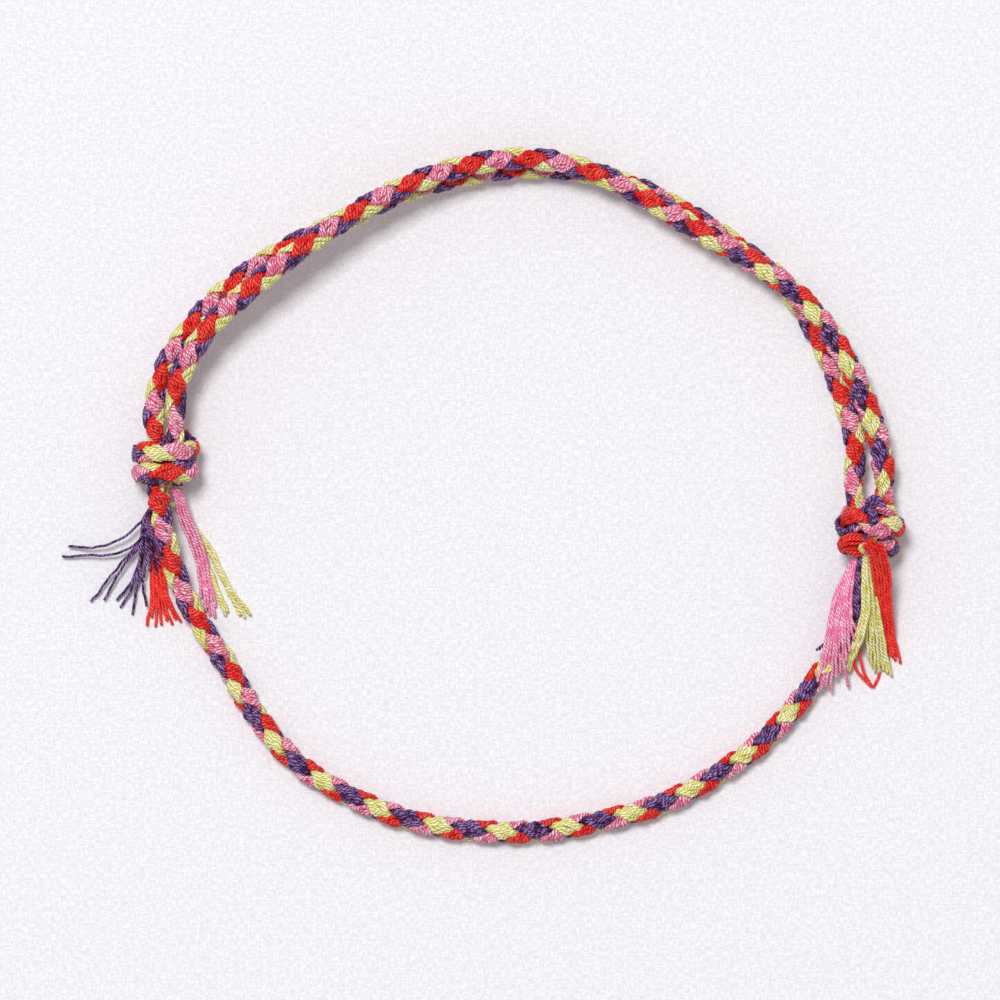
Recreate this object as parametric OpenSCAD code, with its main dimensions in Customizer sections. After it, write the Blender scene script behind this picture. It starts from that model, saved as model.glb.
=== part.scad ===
// Braided cord bracelet, lying flat as a closed loop, in millimetres.
// One round cord of four strands goes nearly twice round the upper half of the loop. Each end is
// tied in a sliding knot round the cord itself, and frays into a tassel. Z is up and the bracelet
// lies on Z = 0, with the origin under the middle of its box.

/* [Loop] */
// Width of the loop from knot to knot, between the middles of the knots
loop_w = 63.3; // [56:0.1:72]

/* [Braid] */
// Thickness of one strand at its middle
strand_t = 0.38; // [0.34:0.02:0.44]
// Width of one strand
strand_w = 0.88; // [0.7:0.02:0.92]
// Distance of a strand's outer run from the middle of the cord
run_outer = 0.9; // [0.86:0.01:0.94]
// Distance of a strand's inner run from the middle of the cord
run_inner = 0.32; // [0.3:0.01:0.34]

/* [Tassels] */
// Width of a lock of threads where it forks into its strips
lock_w = 0.8; // [0.6:0.05:0.9]
// Thickness of a lock there
lock_t = 0.5; // [0.4:0.05:0.6]
// Width of a strip at its tip
tip_w = 0.4; // [0.2:0.05:0.5]

/* [Colours] */
// Colour of the red strand
red = "red"; // [red, crimson, orange]
// Colour of the pink strand
pink = "hotpink"; // [hotpink, pink, white]
// Colour of the purple strand
purple = "rebeccapurple"; // [rebeccapurple, navy, black]
// Colour of the lime strand
lime = "yellowgreen"; // [yellowgreen, green, yellow]

/* [Hidden] */

// Middle of each knot
knot_left = [-28.4, 2.9, 2.9];
knot_right = [34.9, -3.0, 2.9];
spread = loop_w / (knot_right[0] - knot_left[0]);
// Middle of the bracelet's box in the routes' own coordinates
box_middle = [0.1, 0.15, 0];

// Columns of every route table. A point's place is followed by its turn of the braid, the angle
// about Y of the cord's upper side, the roll of the braid about the cord, and the squeeze of the
// cord's height and width.
TURN = 3;
LEAN = 4;
ROLL = 5;
HIGH = 6;
WIDE = 7;

// Left knot from the frayed end, measured from the knot's middle: up through the knot under the
// other passes, two wraps from the top one down, and up through the knot again
left_tie = [
    [-0.3, -2.4, -1.0, 0.5, 900, -90, 0.6, 0.62],
    [-0.1, -0.6, -0.9, 0.7, 900, -90, 0.58, 0.62],
    [-0.1, 1.4, -0.9, 0.9, 900, -90, 0.58, 0.62],
    [0.2, 2.6, -1.2, 1.05, 890, -90, 0.58, 0.6],
    [1.1, 2.7, -1.8, 1.2, 865, -90, 0.58, 0.6],
    [1.9, 2.0, -1.4, 1.45, 840, -90, 0.6, 0.75],
    [2.3, 1.3, 0.0, 1.9, 810, -90, 0.66, 0.88],
    [1.0, 1.2, 1.9, 2.3, 746, -85, 0.66, 0.9],
    [-0.7, 1.2, 2.0, 2.53, 702, -5, 0.66, 0.9],
    [-2.4, 1.1, 0.2, 3.0, 630, 0, 0.66, 0.88],
    [0.0, 0.2, -2.2, 3.6, 540, -45, 0.58, 0.8],
    [2.3, -0.5, 0.0, 4.2, 450, -90, 0.66, 0.87],
    [0.0, -0.7, 2.1, 4.8, 360, -90, 0.66, 0.88],
    [-2.4, -0.9, 0.0, 5.3, 280, -90, 0.64, 0.86],
    [-0.8, -1.3, -2.1, 5.8, 200, -90, 0.58, 0.7],
    [0.7, -1.5, -2.2, 6.0, 170, -90, 0.56, 0.62],
    [1.4, -1.7, -1.5, 6.2, 130, -90, 0.56, 0.62],
    [1.1, -1.5, -0.5, 6.4, 80, -90, 0.56, 0.62],
    [0.8, -0.6, 0.4, 6.6, 30, -90, 0.62, 0.62],
    [0.8, 1.5, 0.5, 6.9, 0, -90, 0.64, 0.64],
    [0.9, 3.2, 0.7, 7.2, 0, -90, 0.8, 0.8],
];

// Over the top from the left knot to the right one: place and roll, one point for each turn
over_arc = [
    [-27.3, 10.0, 4.2, -98],
    [-24.5, 15.0, 5.0, -105],
    [-20.5, 18.8, 5.6, -105],
    [-15.9, 22.4, 5.8, -105],
    [-11.4, 25.4, 5.3, -105],
    [-6.4, 28.0, 4.7, -100],
    [-1.2, 29.7, 4.0, -90],
    [4.2, 30.3, 3.6, -90],
    [9.9, 29.1, 3.3, -90],
    [15.0, 26.6, 3.2, -100],
    [19.5, 23.8, 3.2, -120],
    [24.4, 21.0, 3.2, -150],
    [28.8, 17.6, 3.3, -160],
    [32.1, 13.2, 3.2, -155],
    [34.6, 8.0, 2.8, -155],
    [36.0, 2.5, 2.6, -160],
];
over_start = 7.75;

// Down through the right knot, measured from its middle, and on under the tassel
right_pass = [
    [1.0, 3.6, -0.6, 23.1, 0, -165, 0.7, 0.8],
    [0.8, 2.2, -0.6, 23.35, 0, -175, 0.54, 0.68],
    [0.8, 0.0, -0.5, 23.7, 0, -180, 0.5, 0.64],
    [0.8, -2.4, -0.6, 24.1, 0, -180, 0.56, 0.64],
    [0.0, -5.2, -1.6, 24.65, 0, -180, 0.9, 0.9],
    [-2.4, -9.6, -1.7, 25.5, 0, -180, 1, 1],
];

// Round the bottom from under the right tassel to the left knot
under_arc = [
    [29.2, -17.5, 1.15, -172],
    [25.7, -21.5, 1.1, -165],
    [21.2, -24.9, 1.1, -165],
    [16.1, -27.6, 1.1, -165],
    [10.4, -29.2, 1.1, -165],
    [4.7, -30.1, 1.1, -165],
    [-1.2, -30.0, 1.1, -165],
    [-6.8, -29.0, 1.1, -165],
    [-12.0, -26.9, 1.1, -168],
    [-16.6, -24.0, 1.1, -180],
    [-20.4, -19.6, 1.1, -210],
    [-23.2, -14.8, 1.2, -240],
    [-26.3, -9.8, 1.5, -262],
    [-28.3, -4.3, 2.6, -270],
];
under_start = 26.5;

// Up through the left knot, measured from its middle
left_pass = [
    [-0.7, -2.4, 0.6, 40.4, 0, -270, 0.76, 0.8],
    [-0.7, 0.0, 0.4, 40.8, 0, -270, 0.58, 0.6],
    [-0.8, 2.0, 0.3, 41.1, 0, -270, 0.6, 0.64],
];

// Back along the inside of the first pass, under it, from the left knot to the right one
inner_arc = [
    [-29.4, 5.9, 3.0, -270],
    [-28.8, 10.7, 3.0, -270],
    [-26.0, 15.4, 3.6, -270],
    [-22.4, 19.0, 3.9, -270],
    [-17.9, 22.1, 3.7, -270],
    [-12.7, 24.6, 3.2, -270],
    [-7.6, 27.1, 2.6, -270],
    [-2.3, 28.7, 2.0, -270],
    [3.0, 29.5, 1.6, -270],
    [8.4, 29.3, 1.2, -270],
    [13.5, 27.9, 1.1, -280],
    [18.3, 25.5, 1.1, -285],
    [23.0, 22.4, 1.1, -283],
    [27.3, 18.8, 1.1, -272],
    [30.3, 14.1, 1.2, -262],
    [32.3, 9.2, 1.3, -260],
    [33.5, 4.2, 2.2, -262],
];
inner_start = 41.25;

// Right knot, measured from its middle: down through the knot, two wraps from the bottom one up,
// and down again under the top wrap and over the bottom one to the frayed end
right_tie = [
    [-1.4, 4.0, -0.5, 57.8, 0, -265, 0.8, 0.85],
    [-1.1, 2.4, -0.4, 58.05, 0, -270, 0.6, 0.66],
    [-0.85, 0.3, -0.5, 58.3, 0, -270, 0.5, 0.62],
    [-0.8, -1.6, -0.7, 58.5, -10, -270, 0.5, 0.6],
    [-1.1, -2.5, -1.3, 58.62, -60, -270, 0.5, 0.58],
    [-0.8, -2.5, -2.05, 58.75, -120, -270, 0.5, 0.6],
    [0.3, -2.1, -2.2, 58.95, -180, -270, 0.54, 0.62],
    [1.7, -1.6, -1.5, 59.2, -225, -240, 0.6, 0.85],
    [2.3, -1.5, 0.0, 59.5, -270, -225, 0.62, 0.9],
    [1.4, -1.5, 0.8, 59.8, -310, -235, 0.54, 0.9],
    [-0.3, -1.5, 0.7, 60.1, -360, -260, 0.46, 0.9],
    [-1.8, -1.5, 1.0, 60.3, -410, -262, 0.62, 1],
    [-2.4, -1.4, -0.4, 60.6, -450, -265, 0.64, 1],
    [0.0, 0.0, -2.2, 61.45, -540, -300, 0.58, 0.8],
    [2.3, 0.45, 0.0, 62.2, -630, -315, 0.64, 0.94],
    [1.0, 0.45, 1.95, 62.65, -690, -315, 0.66, 1],
    [-0.8, 0.95, 2.1, 63.12, -740, -230, 0.66, 1.04],
    [-2.3, 1.15, 0.2, 63.5, -810, -225, 0.64, 0.98],
    [-1.2, 1.9, -1.9, 63.75, -870, -225, 0.56, 0.76],
    [0.8, 2.2, -1.9, 64.0, -930, -225, 0.54, 0.62],
    [2.3, 2.3, -0.4, 64.25, -990, -225, 0.54, 0.6],
    [1.5, 2.4, 0.9, 64.45, -1040, -225, 0.54, 0.64],
    [0.3, 2.1, 1.1, 64.7, -1070, -210, 0.52, 0.62],
    [-0.2, 0.6, 0.75, 65.1, -1080, -190, 0.48, 0.6],
    [-0.2, -0.5, 1.3, 65.4, -1080, -170, 0.5, 0.6],
    [-0.3, -1.4, 2.0, 65.75, -1080, -150, 0.54, 0.64],
];

// Locks of the tassels, measured from the knot's middle. The first row is the fork of a lock, and
// each further row is one strip on its way to the tip, in falling order of X.
left_red = [
    [[-0.9, -4.4, -1.9]],
    [[-0.2, -9.0, -2.55], [1.0, -14.0, -2.65]],
    [[-0.7, -9.0, -2.55], [-0.2, -14.5, -2.65]],
    [[-1.3, -9.0, -2.55], [-1.7, -14.3, -2.65]],
];
left_pink = [
    [[1.0, -4.3, -0.8]],
    [[3.4, -8.0, -2.0], [4.7, -12.9, -2.6]],
    [[2.8, -8.0, -2.0], [3.8, -13.5, -2.6]],
];
left_purple = [
    [[-1.9, -4.6, -1.8]],
    [[-2.6, -9.2, -2.5], [-2.8, -13.3, -2.65]],
    [[-3.4, -9.0, -2.5], [-4.4, -12.9, -2.65]],
    [[-4.0, -8.6, -2.5], [-6.6, -12.3, -2.65]],
    [[-4.8, -7.4, -2.0], [-9.4, -8.2, -2.3]],
];
left_lime = [
    [[2.1, -4.0, -2.2]],
    [[4.6, -9.0, -2.6], [7.6, -13.7, -2.6]],
    [[4.0, -9.4, -2.6], [5.6, -13.5, -2.6]],
];
right_red = [
    [[1.0, -3.4, 0.9]],
    [[1.9, -7.2, -1.4], [2.9, -11.8, -2.6]],
    [[1.4, -7.2, -1.4], [2.2, -11.9, -2.6]],
];
right_pink = [
    [[-2.1, -3.4, 0.9]],
    [[-2.8, -8.8, 0.1], [-2.1, -13.5, -1.2]],
    [[-3.4, -8.0, 0.1], [-3.2, -13.2, -0.9]],
    [[-3.9, -8.0, 0.1], [-4.5, -13.0, -0.3]],
];
right_purple = [
    [[-1.1, -3.4, 1.0]],
    [[-1.4, -7.4, 0.1], [-2.1, -10.6, -0.1]],
    [[-2.1, -7.4, 0.5], [-4.9, -10.7, 0.6]],
];
right_lime = [
    [[0.0, -3.5, 1.1]],
    [[0.6, -8.0, -0.6], [1.5, -13.1, -2.5]],
    [[0.1, -8.0, -0.4], [0.2, -12.8, -2.5]],
    [[-0.6, -8.0, 0.0], [-1.4, -12.8, -0.9]],
];
// Size of a lock where it leaves its strand, and the gap between the two
root_w = 0.28;
root_t = 0.4;
root_gap = 0.15;
// Shortest step between two rings, as a share of the usual one
shortest = 0.3;
// Thickness of a strip at its tip
tip_t = 0.2;

function from_knot(knot, rows) = [
    for (r = rows)
        [knot[0] * spread + r[0], knot[1] + r[1], knot[2] + r[2], r[3], r[4], r[5], r[6], r[7]]
];

function from_arc(rows, start) = [
    for (i = [0 : len(rows) - 1])
        let (r = rows[i])
        [r[0] * spread, r[1], r[2], start + i, 0, r[3], 1, 1]
];

route = concat(
    from_knot(knot_left, left_tie),
    from_arc(over_arc, over_start),
    from_knot(knot_right, right_pass),
    from_arc(under_arc, under_start),
    from_knot(knot_left, left_pass),
    from_arc(inner_arc, inner_start),
    from_knot(knot_right, right_tie)
);
last = len(route) - 1;

// Rings of a strand in each turn of the braid along the loop, and in the squeezed cord of a knot
rings_loop = 6;
rings_knot = 5;
strand_sides = 5;
// Fullness of the curve between two points of the route
fullness = 1.12;

function place(i) = [route[i][0], route[i][1], route[i][2]];
function unit(v) = v / norm(v);

// Direction of the cord at each point of the route
function heading(i) =
    i == 0 ? unit(place(1) - place(0)) :
    i == last ? unit(place(last) - place(last - 1)) :
    let (a = place(i) - place(i - 1), b = place(i + 1) - place(i))
    unit(unit(a) * norm(b) + unit(b) * norm(a));
headings = [for (i = [0 : last]) heading(i)];

function row_at(turn, i = 0) =
    i < last - 1 && route[i + 1][TURN] <= turn ? row_at(turn, i + 1) : i;
function blend(i, t, column) = route[i][column] * (1 - t) + route[i + 1][column] * t;

// The cord at a turn of the braid: its middle, its upper side and its right side, the last two
// squeezed, and its roll
function cord_at(turn) =
    let (
        i = row_at(turn),
        t = (turn - route[i][TURN]) / (route[i + 1][TURN] - route[i][TURN]),
        a = place(i),
        b = place(i + 1),
        pull = norm(b - a) * fullness,
        m = headings[i] * pull,
        n = headings[i + 1] * pull,
        middle = a * (2 * t^3 - 3 * t^2 + 1) + m * (t^3 - 2 * t^2 + t)
            + b * (3 * t^2 - 2 * t^3) + n * (t^3 - t^2),
        ahead = unit((a - b) * 6 * (t^2 - t) + m * (3 * t^2 - 4 * t + 1) + n * (3 * t^2 - 2 * t)),
        lean = blend(i, t, LEAN),
        out = [sin(lean), 0, cos(lean)],
        up = unit(out - ahead * (out * ahead))
    )
    [middle, up * blend(i, t, HIGH), cross(ahead, up) * blend(i, t, WIDE), blend(i, t, ROLL)];

// The four strands: the share of a turn by which each is ahead, and the way that it winds
RED = [0.25, -1];
PINK = [0.75, -1];
PURPLE = [0, 1];
LIME = [0.5, 1];

// Middle of a strand in the cord's own section, and the direction of its thickness there. The
// strands that wind to the right run outside at the top and bottom, the others at the sides.
function strand_middle(strand, turn) =
    strand[1] > 0
    ? let (a = 360 * (turn + strand[0])) [run_outer * cos(a), run_inner * sin(a)]
    : let (a = 360 * (turn + strand[0] - 0.25)) [run_inner * cos(a), -run_outer * sin(a)];
function strand_face(strand, turn) =
    strand[1] > 0 ? 360 * (turn + strand[0]) : -360 * (turn + strand[0] - 0.25);

function turned(p, angle) = [
    p[0] * cos(angle) - p[1] * sin(angle),
    p[0] * sin(angle) + p[1] * cos(angle)
];

// One ring of a strand. Its points shift by one side from ring to ring, against its winding.
function strand_ring(strand, turn, shift) =
    let (
        cord = cord_at(turn),
        middle = strand_middle(strand, turn),
        face = strand_face(strand, turn)
    )
    [
        for (k = [0 : strand_sides - 1])
            let (
                side = 360 * (k - shift) / strand_sides,
                edge = turned([strand_t / 2 * cos(side), strand_w / 2 * sin(side)], face),
                p = turned(middle + edge, cord[3])
            )
            cord[0] + cord[1] * p[0] + cord[2] * p[1]
    ];

// A closed tube through rings that all have the same number of points. The way tells which of the
// two diagonals splits its faces.
module tube(rings, way) {
    sides = len(rings[0]);
    ends = len(rings) - 1;
    translate(-box_middle)
    polyhedron(
        points = [for (ring = rings) each ring],
        faces = concat(
            [[for (k = [0 : sides - 1]) k]],
            [
                for (j = [0 : ends - 1], k = [0 : sides - 1])
                    let (a = j * sides, b = a + sides, n = (k + 1) % sides)
                    each way > 0
                        ? [[a + k, b + k, b + n], [a + k, b + n, a + n]]
                        : [[a + k, b + k, a + n], [b + k, b + n, a + n]]
            ],
            [[for (k = [sides - 1 : -1 : 0]) ends * sides + k]]
        )
    );
}

// Middle of a strand in space at a turn of the braid
function strand_place(strand, turn) =
    let (cord = cord_at(turn), p = turned(strand_middle(strand, turn), cord[3]))
    cord[0] + cord[1] * p[0] + cord[2] * p[1];

// Where each stretch of the route begins, and its rings per turn
stretches = [
    [left_tie[0][TURN], rings_knot],
    [over_start, rings_loop],
    [right_pass[0][TURN], rings_knot],
    [under_start, rings_loop],
    [left_pass[0][TURN], rings_knot],
    [inner_start, rings_loop],
    [right_tie[0][TURN], rings_knot],
    [right_tie[len(right_tie) - 1][TURN], 1],
];

// Turns at which a strand has its rings: along the loop one is at each of its outer runs
function strand_turns(strand) = [
    for (i = [0 : len(stretches) - 2])
        let (
            rings = stretches[i][1],
            first = ceil((stretches[i][0] - strand[0]) * rings),
            end = (stretches[i + 1][0] - strand[0]) * rings
        )
        each concat(
            i == 0 ? [stretches[0][0]] : [],
            [for (k = [first : end - shortest]) if (i > 0 || k > first) k / rings + strand[0]]
        ),
    stretches[len(stretches) - 1][0]
];

module strand(which) {
    turns = strand_turns(which);
    tube([for (j = [0 : len(turns) - 1]) strand_ring(which, turns[j], j * which[1])], which[1]);
}

module strand_red() {
    color(red) strand(RED);
}

module strand_pink() {
    color(pink) strand(PINK);
}

module strand_purple() {
    color(purple) strand(PURPLE);
}

module strand_lime() {
    color(lime) strand(LIME);
}

// Half the width and half the thickness of a lock, as vectors to the right and up
function across(ahead, wide, thick) =
    let (side = unit(cross(ahead, [0, 0, 1])))
    [side * wide / 2, cross(side, ahead) * thick / 2];

// A rectangle round a point, clockwise from its upper right corner as seen along the lock
function rectangle(point, half) = [
    point + half[0] + half[1],
    point + half[0] - half[1],
    point - half[0] - half[1],
    point - half[0] + half[1]
];

// Two triangles for each side between two rectangles, given by the numbers of their corners
function sides(a, b) = [
    for (k = [0 : 3])
        let (n = (k + 1) % 4)
        each [[a[k], b[k], b[n]], [a[k], b[n], a[n]]]
];

// A lock as one closed solid. Its head widens from the root to the fork, where its end is shared
// out side by side to the strips, which taper to their tips.
module lock(root, middle, rows) {
    strips = len(rows) - 1;
    fork = middle + rows[0][0];
    head = across(unit(fork - root), lock_w, lock_t);
    shares = [for (k = [0 : strips]) fork + head[0] * (2 * k / strips - 1)];
    steps = len(rows[1]);
    // Numbers of the points: four at the root, then the shares' tops and bottoms, then the strips
    tops = [for (k = [0 : strips]) 4 + k];
    bottoms = [for (k = [0 : strips]) 5 + strips + k];
    corner = 6 + 2 * strips;
    translate(-box_middle)
    polyhedron(
        points = concat(
            rectangle(root, across(unit(fork - root), root_w, root_t)),
            [for (p = shares) p + head[1]],
            [for (p = shares) p - head[1]],
            [
                for (i = [1 : strips], j = [0 : steps - 1])
                    let (
                        before = j == 0 ? rows[0][0] : rows[i][j - 1],
                        share = (j + 1) / steps,
                        wide = lock_w / strips * (1 - share) + tip_w * share,
                        thick = lock_t * (1 - share) + tip_t * share,
                        ahead = unit(rows[i][j] - before)
                    )
                    each rectangle(middle + rows[i][j], across(ahead, wide, thick))
            ]
        ),
        faces = concat(
            [[0, 1, 2, 3]],
            [[0, tops[strips], bottoms[strips]], [0, bottoms[strips], 1]],
            [[2, bottoms[0], tops[0]], [2, tops[0], 3]],
            [for (k = [0 : strips - 1]) each [
                [3, tops[k], tops[k + 1]],
                [1, bottoms[k + 1], bottoms[k]]
            ]],
            [[3, tops[strips], 0], [1, bottoms[0], 2]],
            [
                for (i = [0 : strips - 1], j = [0 : steps - 1])
                    let (
                        next = corner + 4 * (i * steps + j),
                        start = j > 0
                            ? [for (k = [0 : 3]) next - 4 + k]
                            : [tops[i + 1], bottoms[i + 1], bottoms[i], tops[i]]
                    )
                    each sides(start, [for (k = [0 : 3]) next + k])
            ],
            [
                for (i = [1 : strips])
                    let (tip = corner + 4 * i * steps - 4)
                    [tip + 3, tip + 2, tip + 1, tip]
            ]
        )
    );
}

// A lock of the left tassel, from just past the end of its strand
module left_lock(which, rows) {
    root = strand_place(which, route[0][TURN]) - headings[0] * root_gap;
    lock(root, [knot_left[0] * spread, knot_left[1], knot_left[2]], rows);
}

// A lock of the right tassel
module right_lock(which, rows) {
    root = strand_place(which, route[last][TURN]) + headings[last] * root_gap;
    lock(root, [knot_right[0] * spread, knot_right[1], knot_right[2]], rows);
}

module tassel_left_red() {
    color(red) left_lock(RED, left_red);
}

module tassel_left_pink() {
    color(pink) left_lock(PINK, left_pink);
}

module tassel_left_purple() {
    color(purple) left_lock(PURPLE, left_purple);
}

module tassel_left_lime() {
    color(lime) left_lock(LIME, left_lime);
}

module tassel_right_red() {
    color(red) right_lock(RED, right_red);
}

module tassel_right_pink() {
    color(pink) right_lock(PINK, right_pink);
}

module tassel_right_purple() {
    color(purple) right_lock(PURPLE, right_purple);
}

module tassel_right_lime() {
    color(lime) right_lock(LIME, right_lime);
}

strand_red();
strand_pink();
strand_purple();
strand_lime();
tassel_left_red();
tassel_left_pink();
tassel_left_purple();
tassel_left_lime();
tassel_right_red();
tassel_right_pink();
tassel_right_purple();
tassel_right_lime();
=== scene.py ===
# Draws a braided cord bracelet as threads, on a pale floor. Each of the cord's four strands is a
# bundle of twisted threads, which fray into a tassel at both ends. The tables are in millimetres,
# measured as each one says, and all other lengths are in metres.

import math

import bpy
import numpy as np
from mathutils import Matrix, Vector


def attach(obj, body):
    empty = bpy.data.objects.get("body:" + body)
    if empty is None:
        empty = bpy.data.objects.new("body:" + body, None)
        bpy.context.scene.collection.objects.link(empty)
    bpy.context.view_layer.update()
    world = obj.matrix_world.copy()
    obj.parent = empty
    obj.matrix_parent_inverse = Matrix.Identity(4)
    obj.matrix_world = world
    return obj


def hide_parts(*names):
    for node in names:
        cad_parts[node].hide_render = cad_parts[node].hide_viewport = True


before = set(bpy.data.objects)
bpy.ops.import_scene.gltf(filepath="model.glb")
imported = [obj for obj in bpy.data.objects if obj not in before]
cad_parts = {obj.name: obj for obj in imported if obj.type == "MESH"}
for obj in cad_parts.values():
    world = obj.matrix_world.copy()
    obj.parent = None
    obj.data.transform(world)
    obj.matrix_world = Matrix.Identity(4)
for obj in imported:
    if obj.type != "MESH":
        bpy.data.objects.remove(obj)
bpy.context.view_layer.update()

MM = 0.001

# The route of the cord. A row of a knot is measured from the knot's middle and gives the place, the
# turn of the braid, the angle about Y of the cord's upper side, the roll of the braid about the
# cord, and the squeeze of the cord's height and width. A row of an arc gives the place and the
# roll, one row for each turn.
KNOT_LEFT = (-28.4, 2.9, 2.9)
KNOT_RIGHT = (34.9, -3.0, 2.9)
# The scene's origin in the coordinates of the knots and arcs, under the middle of the box
BOX_MIDDLE = (0.1, 0.15, 0)

LEFT_TIE = [
    (-0.3, -2.4, -1.0, 0.5, 900, -90, 0.6, 0.62),
    (-0.1, -0.6, -0.9, 0.7, 900, -90, 0.58, 0.62),
    (-0.1, 1.4, -0.9, 0.9, 900, -90, 0.58, 0.62),
    (0.2, 2.6, -1.2, 1.05, 890, -90, 0.58, 0.6),
    (1.1, 2.7, -1.8, 1.2, 865, -90, 0.58, 0.6),
    (1.9, 2.0, -1.4, 1.45, 840, -90, 0.6, 0.75),
    (2.3, 1.2, 0.0, 1.9, 810, -90, 0.66, 1.05),
    (1.0, 1.1, 1.9, 2.3, 746, -85, 0.66, 1.1),
    (-0.7, 1.1, 2.0, 2.53, 702, -5, 0.66, 1.1),
    (-2.4, 1.0, 0.2, 3.0, 630, 0, 0.66, 1.05),
    (0.0, 0.2, -2.2, 3.6, 540, -45, 0.58, 0.8),
    (2.3, -0.5, 0.0, 4.2, 450, -90, 0.66, 1.05),
    (0.0, -0.7, 2.1, 4.8, 360, -90, 0.66, 1.1),
    (-2.4, -0.9, 0.0, 5.3, 280, -90, 0.64, 1.05),
    (-0.8, -1.3, -2.1, 5.8, 200, -90, 0.58, 0.7),
    (0.7, -1.2, -2.2, 6.0, 170, -90, 0.56, 0.62),
    (1.3, -1.3, -1.5, 6.2, 130, -90, 0.56, 0.62),
    (1.0, -1.1, -0.5, 6.4, 80, -90, 0.56, 0.62),
    (0.8, -0.6, 0.4, 6.6, 30, -90, 0.62, 0.62),
    (0.8, 1.5, 0.5, 6.9, 0, -90, 0.64, 0.64),
    (0.9, 3.2, 0.7, 7.2, 0, -90, 0.8, 0.8),
]
OVER_START = 7.75
OVER_ARC = [
    (-27.3, 10.0, 4.2, -98),
    (-24.5, 15.0, 5.0, -105),
    (-20.5, 18.8, 5.6, -105),
    (-15.9, 22.4, 5.8, -105),
    (-11.4, 25.4, 5.3, -105),
    (-6.4, 28.0, 4.7, -100),
    (-1.2, 29.7, 4.0, -90),
    (4.2, 30.3, 3.6, -90),
    (9.9, 29.1, 3.3, -90),
    (15.0, 26.6, 3.2, -100),
    (19.5, 23.8, 3.2, -120),
    (24.4, 21.0, 3.2, -150),
    (28.8, 17.6, 3.3, -160),
    (32.1, 13.2, 3.2, -155),
    (34.6, 8.0, 2.8, -155),
    (36.0, 2.5, 2.6, -160),
]
RIGHT_PASS = [
    (1.2, 3.6, -0.6, 23.1, 0, -165, 0.8, 0.9),
    (1.1, 2.2, -0.6, 23.35, 0, -175, 0.6, 0.8),
    (0.8, 0.0, -0.5, 23.7, 0, -180, 0.5, 0.64),
    (0.8, -2.4, -0.6, 24.1, 0, -180, 0.56, 0.64),
    (0.0, -5.2, -1.6, 24.65, 0, -180, 0.9, 0.9),
    (-2.4, -9.6, -1.7, 25.5, 0, -180, 1, 1),
]
UNDER_START = 26.5
UNDER_ARC = [
    (29.2, -17.5, 1.15, -172),
    (25.7, -21.5, 1.1, -165),
    (21.2, -24.9, 1.1, -165),
    (16.1, -27.6, 1.1, -165),
    (10.4, -29.2, 1.1, -165),
    (4.7, -30.1, 1.1, -165),
    (-1.2, -30.0, 1.1, -165),
    (-6.8, -29.0, 1.1, -165),
    (-12.0, -26.9, 1.1, -168),
    (-16.6, -24.0, 1.1, -180),
    (-20.4, -19.6, 1.1, -210),
    (-23.2, -14.8, 1.2, -240),
    (-26.3, -9.8, 1.5, -262),
    (-28.3, -4.3, 2.6, -270),
]
LEFT_PASS = [
    (-0.7, -2.4, 0.6, 40.4, 0, -270, 0.9, 1.2),
    (-0.7, 0.0, 0.4, 40.8, 0, -270, 0.58, 0.6),
    (-0.8, 2.0, 0.3, 41.1, 0, -270, 0.6, 0.64),
]
INNER_START = 41.25
INNER_ARC = [
    (-29.4, 5.9, 3.0, -270),
    (-28.8, 10.7, 3.0, -270),
    (-26.0, 15.4, 3.6, -270),
    (-22.4, 19.0, 3.9, -270),
    (-17.9, 22.1, 3.7, -270),
    (-12.7, 24.6, 3.2, -270),
    (-7.6, 27.1, 2.6, -270),
    (-2.3, 28.7, 2.0, -270),
    (3.0, 29.5, 1.6, -270),
    (8.4, 29.3, 1.2, -270),
    (13.5, 27.9, 1.1, -280),
    (18.3, 25.5, 1.1, -285),
    (23.0, 22.4, 1.1, -283),
    (27.3, 18.8, 1.1, -272),
    (30.3, 14.1, 1.2, -262),
    (32.3, 9.2, 1.3, -260),
    (33.5, 4.2, 2.2, -262),
]
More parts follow.
